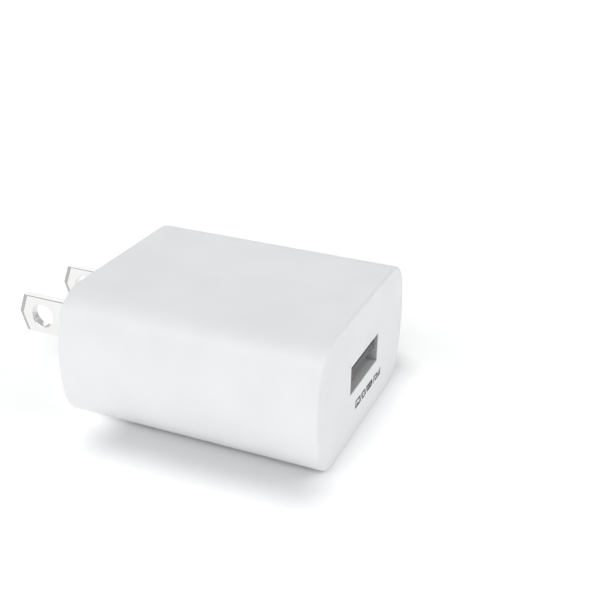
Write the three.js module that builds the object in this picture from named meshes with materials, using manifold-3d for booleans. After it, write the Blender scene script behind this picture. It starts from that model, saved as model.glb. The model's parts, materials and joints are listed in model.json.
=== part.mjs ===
// USB wall charger: a two-blade plug with one type A port in its far end.
//
// Millimetres. The origin is the centre of the wall face. The blades leave that face along +Y,
// the port faces -Y, +X runs from one blade to the other, and +Z is up when the charger lies flat.
//
// The case is one moulded shell, open at the wall end, with a cover welded into its mouth.
// Everything electrical sits on one board that slides into rails in the side walls.

import * as THREE from 'three';
import { mergeVertices } from 'three/addons/utils/BufferGeometryUtils.js';
import Module from 'manifold-3d';

const wasm = await Module();
wasm.setup();

// ---------------------------------------------------------------- driving dimensions

// Case
const bodyLength = 42.8; // wall face to port face
const bodyWidth = 38.4; // across the bulged sides
const bodyHeight = 21.7; // flat top to flat bottom
const sideRadius = 26; // gentle bulge of each side
const cornerRadius = 6; // long corners between the flats and the sides
const endRound = 0.5; // rim of each end face
const caseWall = 1.8;
const frontWall = 1.8; // behind the port face
const railThickness = 0.9; // ribs above and below the board's edges
const railGrip = 1; // how far the rails reach over the board

// Cover in the wall end
const coverThickness = 2;
const coverRim = 1.1; // case left standing round the cover
const skirtDepth = 2.5; // ring on the cover's inner side that finds the case wall
const skirtThickness = 1;

// Blades
const bladeSpacing = 12.7; // centre to centre
const bladeWidth = 6.5;
const bladeThickness = 1.5;
const bladeReach = 16.2; // wall face to tip
const bladeHoleDiameter = 4;
const bladeHoleReach = 11.5; // wall face to hole centre
const tipRise = 1.1; // how far the pointed end rises above its corners
const tipTaper = 0.85; // how far the facets of the tip reach in from its two slopes
const tipThickness = 0.7;
const rootThickness = 1.7; // pressed up where the blade fills its slot
const rootStand = 0.15; // root left standing outside the wall face
const shoulderWidth = 8.6; // stops the blade from being pulled out
const shoulderDepth = 1.2;
const tangWidth = 3.6; // inner end that takes the wire
const tangLength = 4;
const socketWall = 1; // ribs on the cover round each shoulder

// Port
const portWidth = 12.4; // opening in the case
const portHeight = 4.9;
const lipThickness = 0.15; // case left in front of the shell
const collarDepth = 1.5; // collar inside the case that finds the shell
const collarWall = 1.2;
const sheetThickness = 0.3;
const shellLength = 12.05;
const shellSideHide = 0.05; // how far the case lip covers the shell's inner faces
const shellTopHide = 0.1;
const fingerWidth = 2; // springs cut from the shell that grip the plug
const fingerLength = 4.5;
const fingerSpacing = 6;
const fingerStart = 4; // first cut, from the shell's front edge
const fingerBow = 0.35;
const fingerCrown = 0.7; // share of its length, from its root, where a finger bows most
const fingerSlit = 0.3;
const legWidth = 2; // tabs that hold the shell to the board
const legPlace = 5.5; // leg centre, from the port face
const tongueWidth = 11.3;
const tongueThickness = 1.35;
const tongueTopSpace = 1; // under the top edge of the opening
const tongueSetback = 0.45; // behind the port face
const tongueLength = 8.95;
const insulatorBase = 2.9; // block behind the tongue
const contactWidth = 1;
const contactThickness = 0.25;
const contactBow = 0.35; // how far a contact stands below the tongue
const contactSlotDepth = 1;
const contactRise = 1.3; // from a contact's front end to where it touches the plug
const contactFlat = 0.6; // the stretch that touches
const contactNose = 0.8; // tongue left in front of the contact slots
const contactPlaces = [-3.5, -1, 1, 3.5]; // the four poles across the tongue

// Board
const boardThickness = 1.2;
const boardFront = 3.8; // from the port face
const boardBack = 5; // from the wall face
const leadRadius = 0.3;
const leadStub = 0.8; // lead left below the board
const leadSink = 0.3; // how far a lead runs up into its part
const leadBend = 0.8; // from a part's end to the middle of its bent lead

// Transformer, two E cores on one bobbin
const transformerPlace = 20; // centre, from the wall face
const coreWidth = 13.3;
const coreHalf = 6;
const coreThickness = 6;
const coreLeg = 1.65;
const corePole = 2.9;
const coreBack = 1.4;
const bobbinWall = 0.6;
const bobbinFlange = 9.6;
const pinRailHeight = 1.7;
const pinSpacing = 4;
const windingBuild = 1.7; // copper on each side of the bobbin's tube
const tapeThickness = 0.2;
const coreTapeWidth = 3;

// Capacitors: diameter over the sleeve, and length
const inputCapacitor = { diameter: 8, length: 12, leadSpacing: 3.5 };
const outputCapacitorSize = { diameter: 6.3, leadSpacing: 2.5 }; // as tall as the roof allows
const supplyCapacitor = { diameter: 5, length: 9, leadSpacing: 2 };
const canFoot = 0.5; // chamfer round a can's foot
const canShoulder = 0.6; // round at its closed end, drawn in two steps
const canBead = { height: 2, half: 0.4, depth: 0.3 }; // groove rolled in over the seal
const sleeveStart = 0.4; // can left bare at its foot
const sleeveRound = 0.4;
const sleeveThickness = 0.15;
const sleeveLap = 0.5; // sleeve turned over the can's shoulder
const safetyDisc = { radius: 3.6, thickness: 3, leadSpacing: 5, stand: 1, flatShare: 0.75 };

// Other leaded parts
const fuseResistor = { diameter: 3, length: 7, x: -10 };
const choke = { diameter: 6, height: 7.5, flange: 1, spool: 2.6, leadSpacing: 2.5, x: 10.7 };
const diode = { diameter: 5.2, length: 9.2, stand: 1, loop: 0.5, beside: 0.7 };
const wireRadius = 0.6;
const wireInward = 0.5; // how far the wires close in between the blades and the board
const barrierThickness = 0.4;

// Flat parts under the board
const chip = [3.2, 1.6, 0.6]; // a plain chip resistor or capacitor
const footThickness = 0.4;
const footReach = 0.8; // foot of a moulded part, out past its body
const capReach = 0.1; // metal end of a chip, out past its body
const footGrip = 0.4; // foot inside the body

// Clearances
const weldGap = 0.12; // cover to case, all round
const slotGap = 0.05; // blade root to its slot
const seatGap = 0.05; // faces that rest on each other
const shellGap = 0.15; // shell to its collar
const boardGap = 0.1; // board to its rails
const boardSideGap = 0.3;
const contactGap = 0.15; // contact to the sides of its slot
const holeGap = 0.15; // lead to its hole in the board
const airGap = 0.3; // between parts that only stand near each other
const over = 1; // how far a cutter runs past the face it cuts
const arcSteps = 6; // straight steps in each arc of the case's section

// ---------------------------------------------------------------- shapes and solids

const X = new THREE.Vector3(1, 0, 0);
const Y = new THREE.Vector3(0, 1, 0);
const Z = new THREE.Vector3(0, 0, 1);

// Which way an outline lies, and which way its depth runs.
const planes = {
  xy: new THREE.Matrix4().makeBasis(X, Y, Z),
  xz: new THREE.Matrix4().makeBasis(X, Z, Y.clone().negate()),
  yz: new THREE.Matrix4().makeBasis(Y, Z, X),
};

function solidOf(geometry) {
  const bare = geometry.clone();
  bare.deleteAttribute('normal');
  bare.deleteAttribute('uv');
  const merged = mergeVertices(bare, 1e-4);
  return new wasm.Manifold(
    new wasm.Mesh({
      numProp: 3,
      vertProperties: merged.attributes.position.array,
      triVerts: new Uint32Array(merged.index.array),
    }),
  );
}

function geometryOf(solid) {
  const { vertProperties, triVerts } = solid.getMesh();
  const geometry = new THREE.BufferGeometry();
  geometry.setAttribute('position', new THREE.BufferAttribute(vertProperties, 3));
  geometry.setIndex(new THREE.BufferAttribute(triVerts, 1));
  return geometry;
}

function prism(outline, depth, plane, at = [0, 0, 0], round = 0) {
  const geometry = new THREE.ExtrudeGeometry(outline, {
    depth: depth - 2 * round,
    bevelEnabled: round > 0,
    bevelThickness: round,
    bevelSize: round,
    bevelOffset: -round,
    bevelSegments: 3,
  });
  geometry.translate(0, 0, round);
  geometry.applyMatrix4(planes[plane]);
  geometry.translate(...at);
  return solidOf(geometry);
}

function block(low, high) {
  const size = high.map((value, axis) => value - low[axis]);
  const middle = high.map((value, axis) => (value + low[axis]) / 2);
  return solidOf(new THREE.BoxGeometry(...size).translate(...middle));
}

function rod(start, end, radius, sides = 8) {
  const from = new THREE.Vector3(...start);
  const along = new THREE.Vector3(...end).sub(from);
  const geometry = new THREE.CylinderGeometry(radius, radius, along.length(), sides);
  geometry.applyQuaternion(new THREE.Quaternion().setFromUnitVectors(Y, along.clone().normalize()));
  geometry.translate(...from.addScaledVector(along, 0.5).toArray());
  return solidOf(geometry);
}

// A turned piece standing on z = 0, from a profile of [radius, height] pairs on the axis at both ends.
function turned(profile, sides = 16) {
  const points = profile.map(([radius, height]) => new THREE.Vector2(radius, height));
  return solidOf(new THREE.LatheGeometry(points, sides).rotateX(Math.PI / 2));
}

function joined(solids) {
  return solids.reduce((whole, next) => whole.add(next));
}

function polygon(points) {
  return new THREE.Shape(points.map(([u, v]) => new THREE.Vector2(u, v)));
}

function rectangle(width, height) {
  const u = width / 2;
  const v = height / 2;
  return polygon([[-u, -v], [u, -v], [u, v], [-u, v]]);
}

function rectangleRing(outerWidth, outerHeight, innerWidth, innerHeight) {
  const ring = rectangle(outerWidth, outerHeight);
  ring.holes.push(rectangle(innerWidth, innerHeight));
  return ring;
}

// A bent strip of even thickness along a line of [u, v] points.
function strip(points, thickness) {
  const lower = points.map(([u, v]) => [u, v - thickness / 2]);
  const upper = points.map(([u, v]) => [u, v + thickness / 2]).reverse();
  return polygon([...lower, ...upper]);
}

// The case's cross-section, drawn in by an even inset: flats, round corners and bulged sides.
function bodyOutline(inset) {
  const { centre, cornerX, cornerZ, turn } = bodyArcs();
  const side = sideRadius - inset;
  const corner = cornerRadius - inset;
  const half = Math.PI / 2;
  const path = new THREE.Path();
  path.absarc(centre, 0, side, -turn, turn);
  path.absarc(cornerX, cornerZ, corner, turn, half);
  path.absarc(-cornerX, cornerZ, corner, half, Math.PI - turn);
  path.absarc(-centre, 0, side, Math.PI - turn, Math.PI + turn);
  path.absarc(-cornerX, -cornerZ, corner, Math.PI + turn, 3 * half);
  path.absarc(cornerX, -cornerZ, corner, 3 * half, 4 * half - turn);
  const points = path.getPoints(arcSteps);
  return new THREE.Shape(points.filter((p, i) => p.distanceTo(points[(i + 1) % points.length]) > 1e-3));
}

// Where the section's arcs meet: each corner arc touches its side arc and the flat beside it.
function bodyArcs() {
  const centre = bodyWidth / 2 - sideRadius;
  const cornerZ = bodyHeight / 2 - cornerRadius;
  const reach = sideRadius - cornerRadius;
  const cornerX = centre + Math.sqrt(reach ** 2 - cornerZ ** 2);
  return { centre, cornerX, cornerZ, turn: Math.asin(cornerZ / reach) };
}

// Half the section's width at a height, on the bulged side.
function sideAt(height, inset) {
  return bodyArcs().centre + Math.sqrt((sideRadius - inset) ** 2 - height ** 2);
}

// Height of the cavity's roof, at a distance from the middle.
function roofAt(x) {
  const { cornerX, cornerZ } = bodyArcs();
  const beyond = Math.max(0, x - cornerX);
  return cornerZ + Math.sqrt((cornerRadius - caseWall) ** 2 - beyond ** 2);
}

// ---------------------------------------------------------------- materials and pieces

function finish(color, roughness, metalness = 0) {
  return () => new THREE.MeshStandardMaterial({ color, roughness, metalness });
}

const finishes = {
  case: finish(0xf1f2f2, 0.38),
  blade: finish(0xd9d9d6, 0.22, 1),
  shell: finish(0xbfc1c2, 0.32, 1),
  insulator: finish(0x77787a, 0.5),
  contact: finish(0xd8b25a, 0.28, 1),
  board: finish(0xb98a4a, 0.6),
  ferrite: finish(0x3a3b3d, 0.7),
  bobbin: finish(0x1f1f20, 0.5),
  copper: finish(0xb4693a, 0.35, 1),
  tape: finish(0xe6c23a, 0.35),
  can: finish(0xc9cbcd, 0.3, 1),
  sleeve: finish(0x24324f, 0.35),
  epoxy: finish(0x1b1b1c, 0.55),
  disc: finish(0x2f63a8, 0.4),
  resistor: finish(0x6f8f5a, 0.5),
  chip: finish(0x5b5148, 0.6),
  wire: finish(0x202022, 0.45),
  barrier: finish(0xe9e6da, 0.5),
};

function piece(name, solid, material) {
  const geometry = geometryOf(solid);
  geometry.computeVertexNormals();
  const mesh = new THREE.Mesh(geometry, finishes[material]());
  mesh.name = name;
  return mesh;
}

function groupAt(position, ...children) {
  const group = new THREE.Group();
  group.position.set(...position);
  group.add(...children);
  return group;
}

// ---------------------------------------------------------------- sizes that follow

const shellInnerWidth = portWidth + 2 * shellSideHide;
const shellInnerHeight = portHeight + 2 * shellTopHide;
const shellWidth = shellInnerWidth + 2 * sheetThickness;
const shellHeight = shellInnerHeight + 2 * sheetThickness;
const shellFront = lipThickness + seatGap;
const shellBack = shellFront + shellLength;
const contactRoot = tongueSetback + tongueLength;
const tongueBottom = portHeight / 2 - tongueTopSpace - tongueThickness;
const contactHeight = tongueBottom + contactSlotDepth / 2;
const terminalBack = shellBack + airGap;

const boardTop = -shellHeight / 2 - seatGap;
const boardBottom = boardTop - boardThickness;
const boardHalfWidth = sideAt(boardBottom, caseWall) - boardSideGap;
const railInner = boardHalfWidth - railGrip;

const besidePort = shellWidth / 2 + shellGap + collarWall + airGap / 2;
const outputX = besidePort + outputCapacitorSize.diameter / 2;
const outputRoof = roofAt(outputX + outputCapacitorSize.diameter / 2) - boardTop;
const outputCapacitor = { ...outputCapacitorSize, length: outputRoof - 3 * airGap };
const barrierPlace = transformerPlace + coreHalf + tapeThickness + 2 * airGap;

// ---------------------------------------------------------------- case, cover and blades

function makeHousing() {
  const outer = prism(bodyOutline(0), bodyLength, 'xz', [0, 0, 0], endRound);
  const cavity = prism(bodyOutline(caseWall), bodyLength - frontWall + over, 'xz', [0, over, 0]);
  const mouth = prism(bodyOutline(coverRim), coverThickness + seatGap + over, 'xz', [0, over, 0]);

  const railLow = -bodyLength + boardFront;
  const railHigh = -coverThickness - skirtDepth - airGap;
  const railHeights = [
    [boardBottom - boardGap - railThickness, boardBottom - boardGap],
    [boardTop + boardGap, boardTop + boardGap + railThickness],
  ];
  const rails = railHeights.flatMap(([low, high]) => {
    const root = sideAt(low, caseWall / 2);
    return [
      block([railInner, railLow, low], [root, railHigh, high]),
      block([-root, railLow, low], [-railInner, railHigh, high]),
    ];
  });

  const collarX = shellWidth / 2 + shellGap + collarWall;
  const collarZ = shellHeight / 2 + shellGap + collarWall;
  const face = -bodyLength;
  const collarBack = face + frontWall + collarDepth;
  const collar = block([-collarX, face + frontWall / 2, -collarZ], [collarX, collarBack, collarZ]);
  const pocketX = shellWidth / 2 + shellGap;
  const pocketZ = shellHeight / 2 + shellGap;
  const pocket = block([-pocketX, face + lipThickness, -pocketZ], [pocketX, collarBack + over, pocketZ]);
  const opening = block(
    [-portWidth / 2, face - over, -portHeight / 2],
    [portWidth / 2, face + frontWall, portHeight / 2],
  );

  const shell = outer.subtract(cavity).subtract(mouth);
  return joined([shell, ...rails, collar]).subtract(pocket).subtract(opening);
}

function makeCover() {
  const plate = prism(bodyOutline(coverRim + weldGap), coverThickness, 'xz');
  const skirtOutside = caseWall + weldGap;
  const skirtRing = bodyOutline(skirtOutside);
  skirtRing.holes.push(bodyOutline(skirtOutside + skirtThickness));
  const skirt = prism(skirtRing, skirtDepth, 'xz', [0, -coverThickness, 0]);

  const slotX = rootThickness / 2 + slotGap;
  const slotZ = bladeWidth / 2 + slotGap;
  const pocketZ = shoulderWidth / 2 + slotGap;
  const inside = -coverThickness - shoulderDepth - seatGap;
  let cover = plate.add(skirt);
  for (const x of [-bladeSpacing / 2, bladeSpacing / 2]) {
    const ribs = block(
      [x - slotX - socketWall, inside, -pocketZ - socketWall],
      [x + slotX + socketWall, -coverThickness, pocketZ + socketWall],
    );
    const pocket = block([x - slotX, inside - over, -pocketZ], [x + slotX, -coverThickness, pocketZ]);
    const slot = block([x - slotX, inside, -slotZ], [x + slotX, over, slotZ]);
    cover = cover.add(ribs).subtract(pocket).subtract(slot);
  }
  return cover;
}

function makeBlade() {
  const w = bladeWidth / 2;
  const shoulder = -coverThickness - seatGap;
  const tang = shoulder - shoulderDepth;
  const half = [
    [bladeReach - tipRise, w],
    [shoulder, w],
    [shoulder, shoulderWidth / 2],
    [tang, shoulderWidth / 2],
    [tang, tangWidth / 2],
    [tang - tangLength, tangWidth / 2],
  ];
  const mirrored = half.map(([y, z]) => [y, -z]).reverse();
  const outline = polygon([[bladeReach, 0], ...half, ...mirrored]);
  const hole = new THREE.Path().absarc(bladeHoleReach, 0, bladeHoleDiameter / 2, 0, 2 * Math.PI);
  outline.holes.push(hole);
  const flat = prism(outline, bladeThickness, 'yz', [-bladeThickness / 2, 0, 0]);

  // Each slope of the tip is faceted on both faces. Seen square to the slope, the strip thins
  // towards its edge.
  const t = bladeThickness / 2;
  const tip = tipThickness / 2;
  const far = 2 * bladeReach;
  const thinning = polygon([
    [-t - over, -far],
    [t + over, -far],
    [t + over, -tipTaper],
    [t, -tipTaper],
    [tip, 0],
    [tip, over],
    [-tip, over],
    [-tip, 0],
    [-t, -tipTaper],
    [-t - over, -tipTaper],
  ]);
  const slope = Math.atan2(tipRise, w);
  const thinnedBy = [slope, -slope].map((angle) => {
    const geometry = new THREE.ExtrudeGeometry(thinning, { depth: 2 * far, bevelEnabled: false });
    return solidOf(geometry.translate(0, 0, -far).rotateX(angle).translate(0, bladeReach, 0));
  });
  const faceted = flat.intersect(thinnedBy[0]).intersect(thinnedBy[1]);
  const root = rootThickness / 2;
  return faceted.add(block([-root, tang, -w], [root, rootStand, w]));
}

// ---------------------------------------------------------------- port
// Drawn from the middle of the opening on the port face, with +Y going in.

function makeShell() {
  const tube = rectangleRing(shellWidth, shellHeight, shellInnerWidth, shellInnerHeight);
  let shell = prism(tube, shellLength, 'xz', [0, shellBack, 0]);
  const windowLow = shellFront + fingerStart;
  const windowHigh = windowLow + fingerLength;
  const windowX = fingerWidth / 2 + fingerSlit;
  for (const x of [-fingerSpacing / 2, fingerSpacing / 2]) {
    for (const side of [-1, 1]) {
      const inner = (side * shellInnerHeight) / 2;
      const outer = (side * shellHeight) / 2;
      const cut = [inner - side * over, outer + side * over].sort((a, b) => a - b);
      shell = shell.subtract(
        block([x - windowX, windowLow, cut[0]], [x + windowX, windowHigh, cut[1]]),
      );
      // Rooted at the far end of its window, it bows in to the plug and back to the sheet's level.
      const middle = (inner + outer) / 2;
      const finger = strip(
        [
          [windowHigh + fingerSlit, middle],
          [windowHigh - fingerLength * fingerCrown, middle - side * fingerBow],
          [windowLow + fingerSlit, middle],
        ],
        sheetThickness,
      );
      shell = shell.add(prism(finger, fingerWidth, 'yz', [x - fingerWidth / 2, 0, 0]));
    }
  }
  const legBottom = boardBottom - leadStub;
  for (const side of [-1, 1]) {
    const faces = [(side * shellInnerWidth) / 2, (side * shellWidth) / 2].sort((a, b) => a - b);
    shell = shell.add(
      block([faces[0], legPlace - legWidth / 2, legBottom], [faces[1], legPlace + legWidth / 2, 0]),
    );
  }
  return shell;
}

function makeInsulator() {
  const topFace = tongueBottom + tongueThickness;
  const tongue = block(
    [-tongueWidth / 2, tongueSetback, tongueBottom],
    [tongueWidth / 2, contactRoot + insulatorBase / 2, topFace],
  );
  const baseX = shellInnerWidth / 2 - seatGap;
  const baseZ = shellInnerHeight / 2 - seatGap;
  const base = block([-baseX, contactRoot, -baseZ], [baseX, contactRoot + insulatorBase, baseZ]);
  let insulator = tongue.add(base);
  const slotX = contactWidth / 2 + contactGap;
  for (const x of contactPlaces) {
    const slot = block(
      [x - slotX, tongueSetback + contactNose, tongueBottom - over],
      [x + slotX, contactRoot, tongueBottom + contactSlotDepth],
    );
    const channel = block(
      [x - slotX, contactRoot - over, contactHeight - contactThickness],
      [x + slotX, contactRoot + insulatorBase + over, contactHeight + contactThickness],
    );
    insulator = insulator.subtract(slot).subtract(channel);
  }
  return insulator;
}

// The part of a contact that flexes, drawn from the root that it turns about.
function makeContact() {
  const touch = tongueBottom - contactBow + contactThickness / 2 - contactHeight;
  const nose = tongueSetback + contactNose + airGap - contactRoot;
  const outline = strip(
    [
      [nose, -contactThickness / 2],
      [nose + contactRise, touch],
      [nose + contactRise + contactFlat, touch],
      [-seatGap, 0],
    ],
    contactThickness,
  );
  return prism(outline, contactWidth, 'yz', [-contactWidth / 2, 0, 0]);
}

// The part of a contact that stays still: through the base, then down through the board.
function makeTerminal() {
  const half = contactThickness / 2;
  const run = block(
    [-contactWidth / 2, contactRoot + seatGap, contactHeight - half],
    [contactWidth / 2, terminalBack + contactThickness, contactHeight + half],
  );
  const tail = block(
    [-contactWidth / 2, terminalBack, boardBottom - leadStub],
    [contactWidth / 2, terminalBack + contactThickness, contactHeight],
  );
  return run.add(tail);
}

function makePort() {
  const port = groupAt(
    [0, -bodyLength, 0],
    piece('usb_shell', makeShell(), 'shell'),
    piece('usb_insulator', makeInsulator(), 'insulator'),
  );
  contactPlaces.forEach((x, index) => {
    const contact = piece(`usb_contact_${index + 1}`, makeContact(), 'contact');
    contact.position.set(x, contactRoot, contactHeight);
    const terminal = piece(`usb_terminal_${index + 1}`, makeTerminal(), 'contact');
    terminal.position.x = x;
    port.add(contact, terminal);
  });
  return port;
}

// ---------------------------------------------------------------- parts on the board
// Each is drawn from the board's top face. Its leads are listed, so that the board can be drilled.

const leadHoles = [];
const wireHoles = [];

function lead(x, y, top, at) {
  leadHoles.push([at[0] + x, at[1] + y]);
  return rod([x, y, -boardThickness - leadStub], [x, y, top], leadRadius);
}

function canProfile({ diameter, length }) {
  const r = diameter / 2 - sleeveThickness - seatGap;
  return [
    [0, 0],
    [r - canFoot, 0],
    [r, canFoot],
    [r, canBead.height - canBead.half],
    [r - canBead.depth, canBead.height],
    [r, canBead.height + canBead.half],
    [r, length - canShoulder],
    [r - canShoulder / 2, length - canShoulder / 3],
    [r - canShoulder, length],
    [0, length],
  ];
}

function sleeveSolid({ diameter, length }) {
  const outer = diameter / 2;
  const inner = outer - sleeveThickness;
  const top = length + sleeveThickness + seatGap;
  const lap = inner - sleeveLap;
  const wall = [
    [inner, sleeveStart],
    [outer, sleeveStart],
    [outer, top - sleeveRound],
    [outer - sleeveRound, top],
    [lap, top],
    [lap, top - sleeveThickness],
    [inner - canShoulder / 2, top - sleeveThickness],
    [inner, top - sleeveThickness - sleeveRound],
    [inner, sleeveStart],
  ];
  return turned(wall);
}

// A can standing on the board. Its foot clears the board by the airGap.
function standingCapacitor(name, size, x, y) {
  const at = [x, y];
  const can = turned(canProfile(size));
  const leads = [-1, 1].map((side) => lead((side * size.leadSpacing) / 2, 0, airGap + leadSink, at));
  const raised = groupAt([0, 0, airGap], piece(`${name}_sleeve`, sleeveSolid(size), 'sleeve'));
  const body = solidOf(geometryOf(can).translate(0, 0, airGap));
  return groupAt([x, y, 0], piece(`${name}_can`, joined([body, ...leads]), 'can'), raised);
}

// A can lying beside the transformer, its foot and leads towards the wall face.
function lyingCapacitor(name, size, x, front) {
  const foot = front + size.length;
  const height = size.diameter / 2 + airGap;
  const down = foot + leadBend;
  const toLying = (solid) => solidOf(geometryOf(solid).rotateX(Math.PI / 2).translate(0, foot, height));
  const leads = [-1, 1].flatMap((side) => {
    const across = (side * size.leadSpacing) / 2;
    return [
      rod([across, foot - leadSink, height], [across, down + leadRadius, height], leadRadius),
      lead(across, down, height, [x, 0]),
    ];
  });
  return groupAt(
    [x, 0, 0],
    piece(`${name}_can`, joined([toLying(turned(canProfile(size))), ...leads]), 'can'),
    piece(`${name}_sleeve`, toLying(sleeveSolid(size)), 'sleeve'),
  );
}

// Half of the ferrite core: three legs from one back, pointing at +Y.
function makeCoreHalf(coreFloor) {
  const x = coreWidth / 2;
  const window = x - coreLeg;
  const pole = corePole / 2;
  const back = -coreHalf;
  const root = back + coreBack;
  const meet = -seatGap / 2;
  const outline = polygon([
    [-x, back],
    [x, back],
    [x, meet],
    [window, meet],
    [window, root],
    [pole, root],
    [pole, meet],
    [-pole, meet],
    [-pole, root],
    [-window, root],
    [-window, meet],
    [-x, meet],
  ]);
  return prism(outline, coreThickness, 'xy', [0, 0, coreFloor]);
}

function makeTransformer() {
  const place = [0, -transformerPlace];
  const coreFloor = pinRailHeight + airGap;
  const coreMiddle = coreFloor + coreThickness / 2;
  const tubeInX = corePole + 2 * seatGap;
  const tubeInZ = coreThickness + 2 * seatGap;
  const tubeX = tubeInX + 2 * bobbinWall;
  const tubeZ = tubeInZ + 2 * bobbinWall;
  const flangeOut = coreHalf - coreBack - seatGap;
  const flangeIn = flangeOut - bobbinWall;

  const railX = bobbinFlange / 2;
  const bobbinParts = [
    block(
      [-tubeX / 2, -flangeOut, coreMiddle - tubeZ / 2],
      [tubeX / 2, flangeOut, coreMiddle + tubeZ / 2],
    ),
  ];
  for (const side of [-1, 1]) {
    const flangeY = [side * flangeIn, side * (flangeOut + seatGap / 2)].sort((a, b) => a - b);
    const railY = [side * (flangeIn + bobbinWall / 2), side * coreHalf].sort((a, b) => a - b);
    bobbinParts.push(
      block([-railX, flangeY[0], coreMiddle - railX], [railX, flangeY[1], coreMiddle + railX]),
      block([-railX + airGap, railY[0], airGap], [railX - airGap, railY[1], pinRailHeight]),
    );
    for (const pin of [-1, 0, 1]) {
      bobbinParts.push(lead(pin * pinSpacing, side * (flangeOut + airGap), pinRailHeight / 2, place));
    }
  }
  const poleHole = block(
    [-tubeInX / 2, -coreHalf, coreMiddle - tubeInZ / 2],
    [tubeInX / 2, coreHalf, coreMiddle + tubeInZ / 2],
  );

  const windingInX = tubeX + 2 * seatGap;
  const windingInZ = tubeZ + 2 * seatGap;
  const windingX = tubeX + 2 * windingBuild;
  const windingZ = tubeZ + 2 * (windingBuild - bobbinWall);
  const windingHalf = flangeIn - seatGap;
  const windingRing = rectangleRing(windingX, windingZ, windingInX, windingInZ);
  const windingAt = [0, windingHalf, coreMiddle];
  const tapeX = windingX + 2 * seatGap;
  const tapeZ = windingZ + 2 * seatGap;
  const tapeRing = rectangleRing(tapeX + 2 * tapeThickness, tapeZ + 2 * tapeThickness, tapeX, tapeZ);

  const bandX = coreWidth + 2 * seatGap;
  const bandY = 2 * (coreHalf + seatGap);
  const bandRing = rectangleRing(bandX + 2 * tapeThickness, bandY + 2 * tapeThickness, bandX, bandY);
  const band = prism(bandRing, coreTapeWidth, 'xy', [0, 0, coreMiddle - coreTapeWidth / 2]);

  const rear = piece('transformer_core_rear', makeCoreHalf(coreFloor), 'ferrite');
  rear.rotation.z = Math.PI;
  return groupAt(
    [...place, 0],
    piece('transformer_bobbin', joined(bobbinParts).subtract(poleHole), 'bobbin'),
    piece('transformer_core_front', makeCoreHalf(coreFloor), 'ferrite'),
    rear,
    piece('transformer_winding', prism(windingRing, 2 * windingHalf, 'xz', windingAt), 'copper'),
    piece('winding_tape', prism(tapeRing, 2 * windingHalf, 'xz', windingAt), 'tape'),
    piece('core_tape', band, 'tape'),
  );
}

function makeFuseResistor(x, y) {
  const r = fuseResistor.diameter / 2;
  const half = fuseResistor.length / 2;
  const bend = half + leadBend;
  const height = r + airGap;
  const body = rod([-half, 0, height], [half, 0, height], r, 16);
  const wire = rod([-bend - leadRadius, 0, height], [bend + leadRadius, 0, height], leadRadius);
  const leads = [-bend, bend].map((across) => lead(across, 0, height, [x, y]));
  return groupAt([x, y, 0], piece('fusible_resistor', joined([body, wire, ...leads]), 'resistor'));
}

function makeChoke(x, y) {
  const r = choke.diameter / 2 - sleeveThickness - seatGap;
  const top = choke.height;
  const spool = choke.spool / 2;
  const drum = turned([
    [0, airGap],
    [r, airGap],
    [r, choke.flange],
    [spool, choke.flange],
    [spool, top - choke.flange],
    [r, top - choke.flange],
    [r, top],
    [0, top],
  ]);
  const coil = turned([
    [spool + seatGap, choke.flange + seatGap],
    [r - airGap, choke.flange + seatGap],
    [r - airGap, top - choke.flange - seatGap],
    [spool + seatGap, top - choke.flange - seatGap],
    [spool + seatGap, choke.flange + seatGap],
  ]);
  const outer = choke.diameter / 2;
  const inner = outer - sleeveThickness;
  const wall = [[inner, airGap], [outer, airGap], [outer, top], [inner, top]];
  const sleeve = turned([...wall, wall[0]]);
  const leads = [-1, 1].map((side) => lead((side * choke.leadSpacing) / 2, 0, choke.flange / 2, [x, y]));
  return groupAt(
    [x, y, 0],
    piece('choke_core', joined([drum, ...leads]), 'ferrite'),
    piece('choke_winding', coil, 'copper'),
    piece('choke_sleeve', sleeve, 'epoxy'),
  );
}

function makeSafetyCapacitor(x, y) {
  const { radius, thickness, leadSpacing, stand, flatShare } = safetyDisc;
  const height = radius + stand;
  const half = thickness / 2;
  const flat = radius * flatShare;
  const profile = [[0, -half], [flat, -half], [radius, -half / 2], [radius, half / 2]];
  const lens = turned([...profile, [flat, half], [0, half]]);
  const disc = solidOf(geometryOf(lens).rotateY(Math.PI / 2).translate(0, 0, height));
  const leads = [-1, 1].map((side) => lead(0, (side * leadSpacing) / 2, height, [x, y]));
  return groupAt([x, y, 0], piece('safety_capacitor', joined([disc, ...leads]), 'disc'));
}

// Stands on one lead, with the other turned over its top and down beside it.
function makeDiode(x, y) {
  const r = diode.diameter / 2;
  const top = diode.stand + diode.length;
  const loop = top + diode.loop;
  const beside = -r - diode.beside;
  const body = rod([0, 0, diode.stand], [0, 0, top], r, 20);
  const bridge = rod([beside - leadRadius, 0, loop], [leadRadius, 0, loop], leadRadius);
  const stub = rod([0, 0, top - leadSink], [0, 0, loop], leadRadius);
  const leads = [lead(0, 0, diode.stand + leadSink, [x, y]), lead(beside, 0, loop, [x, y])];
  return groupAt([x, y, 0], piece('output_diode', joined([body, bridge, stub, ...leads]), 'epoxy'));
}

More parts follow.
